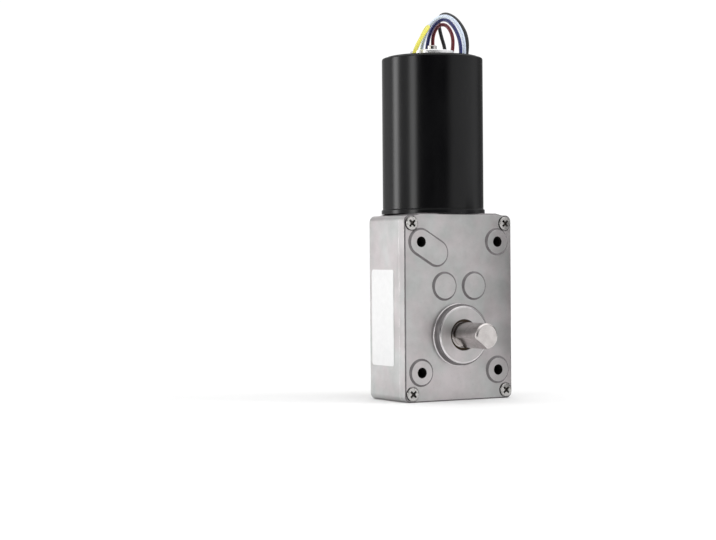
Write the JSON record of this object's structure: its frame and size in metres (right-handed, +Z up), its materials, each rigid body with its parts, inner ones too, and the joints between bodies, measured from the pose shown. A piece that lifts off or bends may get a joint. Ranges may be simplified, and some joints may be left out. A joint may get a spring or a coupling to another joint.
{
  "type": "worm gear motor",
  "caption": "Right-angle worm gear motor: flat rectangular cast gearbox with a flatted output shaft and a tapped front face, upright cylindrical motor with trailing lead wires.",
  "frame": {"origin": "on the output shaft axis, at the face of the boss where the exposed shaft begins", "axes": "the output shaft points along -Y, +Z is up along the motor, +X is to the right seen from the front"},
  "size_m": [0.0523, 0.078, 0.1249],
  "materials": {
    "cast_zinc": "as-cast zinc, fine satin grain",
    "screw_steel": "bright plated",
    "shaft_steel": "ground",
    "bush_bronze": "sintered bronze",
    "washer_plastic": "plain",
    "can_black": "smooth black, semi-gloss",
    "cap_dark": "dark plated",
    "holder_bright": "turned, bright",
    "bearing_steel": "ground",
    "lamination": "stacked sheet, varnished",
    "magnet": "sintered",
    "coil_copper": "enamelled copper wire",
    "board_green": "solder mask",
    "label_white": "blank paper-backed film",
    "tinned": "tinned copper strands",
    "gear_steel": "hobbed",
    "wheel_plastic": "bronze, hobbed",
    "wire_black": "soft insulation",
    "wire_red": "soft insulation",
    "wire_white": "soft insulation",
    "wire_blue": "soft insulation",
    "wire_yellow": "soft insulation"
  },
  "bodies": {
    "root": {"cover_screws": "screw_steel", "driver_board": "board_green", "front_bush": "bush_bronze", "front_cover": "cast_zinc", "front_motor_bearing": "bearing_steel", "gearbox_housing": "cast_zinc", "motor_can": "can_black", "motor_front_cap": "cap_dark", "motor_rear_cap": "cap_dark", "motor_screws": "screw_steel", "rear_bearing_holder": "holder_bright", "rear_bush": "bush_bronze", "rear_motor_bearing": "bearing_steel", "second_axle": "shaft_steel", "side_label": "label_white", "stator_coils": "coil_copper", "stator_core": "lamination", "third_axle": "shaft_steel", "thrust_washer": "washer_plastic", "tinned_tips": "tinned", "wheel_axle": "shaft_steel", "wire_black": "wire_black", "wire_blue": "wire_blue", "wire_red": "wire_red", "wire_white": "wire_white", "wire_yellow": "wire_yellow"},
    "rotor": {"motor_shaft": "shaft_steel", "rotor_core": "lamination", "rotor_magnet": "magnet", "worm": "gear_steel"},
    "wheel": {"worm_wheel": "wheel_plastic", "wheel_pinion": "gear_steel"},
    "second": {"second_gear": "gear_steel", "second_pinion": "gear_steel"},
    "third": {"third_gear": "gear_steel", "third_pinion": "gear_steel"},
    "output": {"output_shaft": "shaft_steel", "output_gear": "gear_steel"}
  },
  "joints": [
    {"name": "rotor_spin", "type": "hinge", "parent": "root", "child": "rotor", "pos_m": [0, 0.01735, 0.06], "axis": [0, 0, 1], "continuous": true},
    {"name": "wheel_spin", "type": "hinge", "parent": "root", "child": "wheel", "pos_m": [-0.0084, 0.013, 0.02559], "axis": [0, 1, 0], "continuous": true},
    {"name": "second_spin", "type": "hinge", "parent": "root", "child": "second", "pos_m": [-0.0055, 0.013, 0.01524], "axis": [0, 1, 0], "continuous": true},
    {"name": "third_spin", "type": "hinge", "parent": "root", "child": "third", "pos_m": [0.0055, 0.01, 0.01524], "axis": [0, 1, 0], "continuous": true},
    {"name": "output_spin", "type": "hinge", "parent": "root", "child": "output", "pos_m": [0, 0, 0], "axis": [0, 1, 0], "continuous": true}
  ],
  "couplings": [
    {"joint": "wheel_spin", "follows": "rotor_spin", "ratio": 0.041667},
    {"joint": "second_spin", "follows": "rotor_spin", "ratio": -0.016129},
    {"joint": "third_spin", "follows": "rotor_spin", "ratio": 0.0060484},
    {"joint": "output_spin", "follows": "rotor_spin", "ratio": -0.0017281}
  ]
}
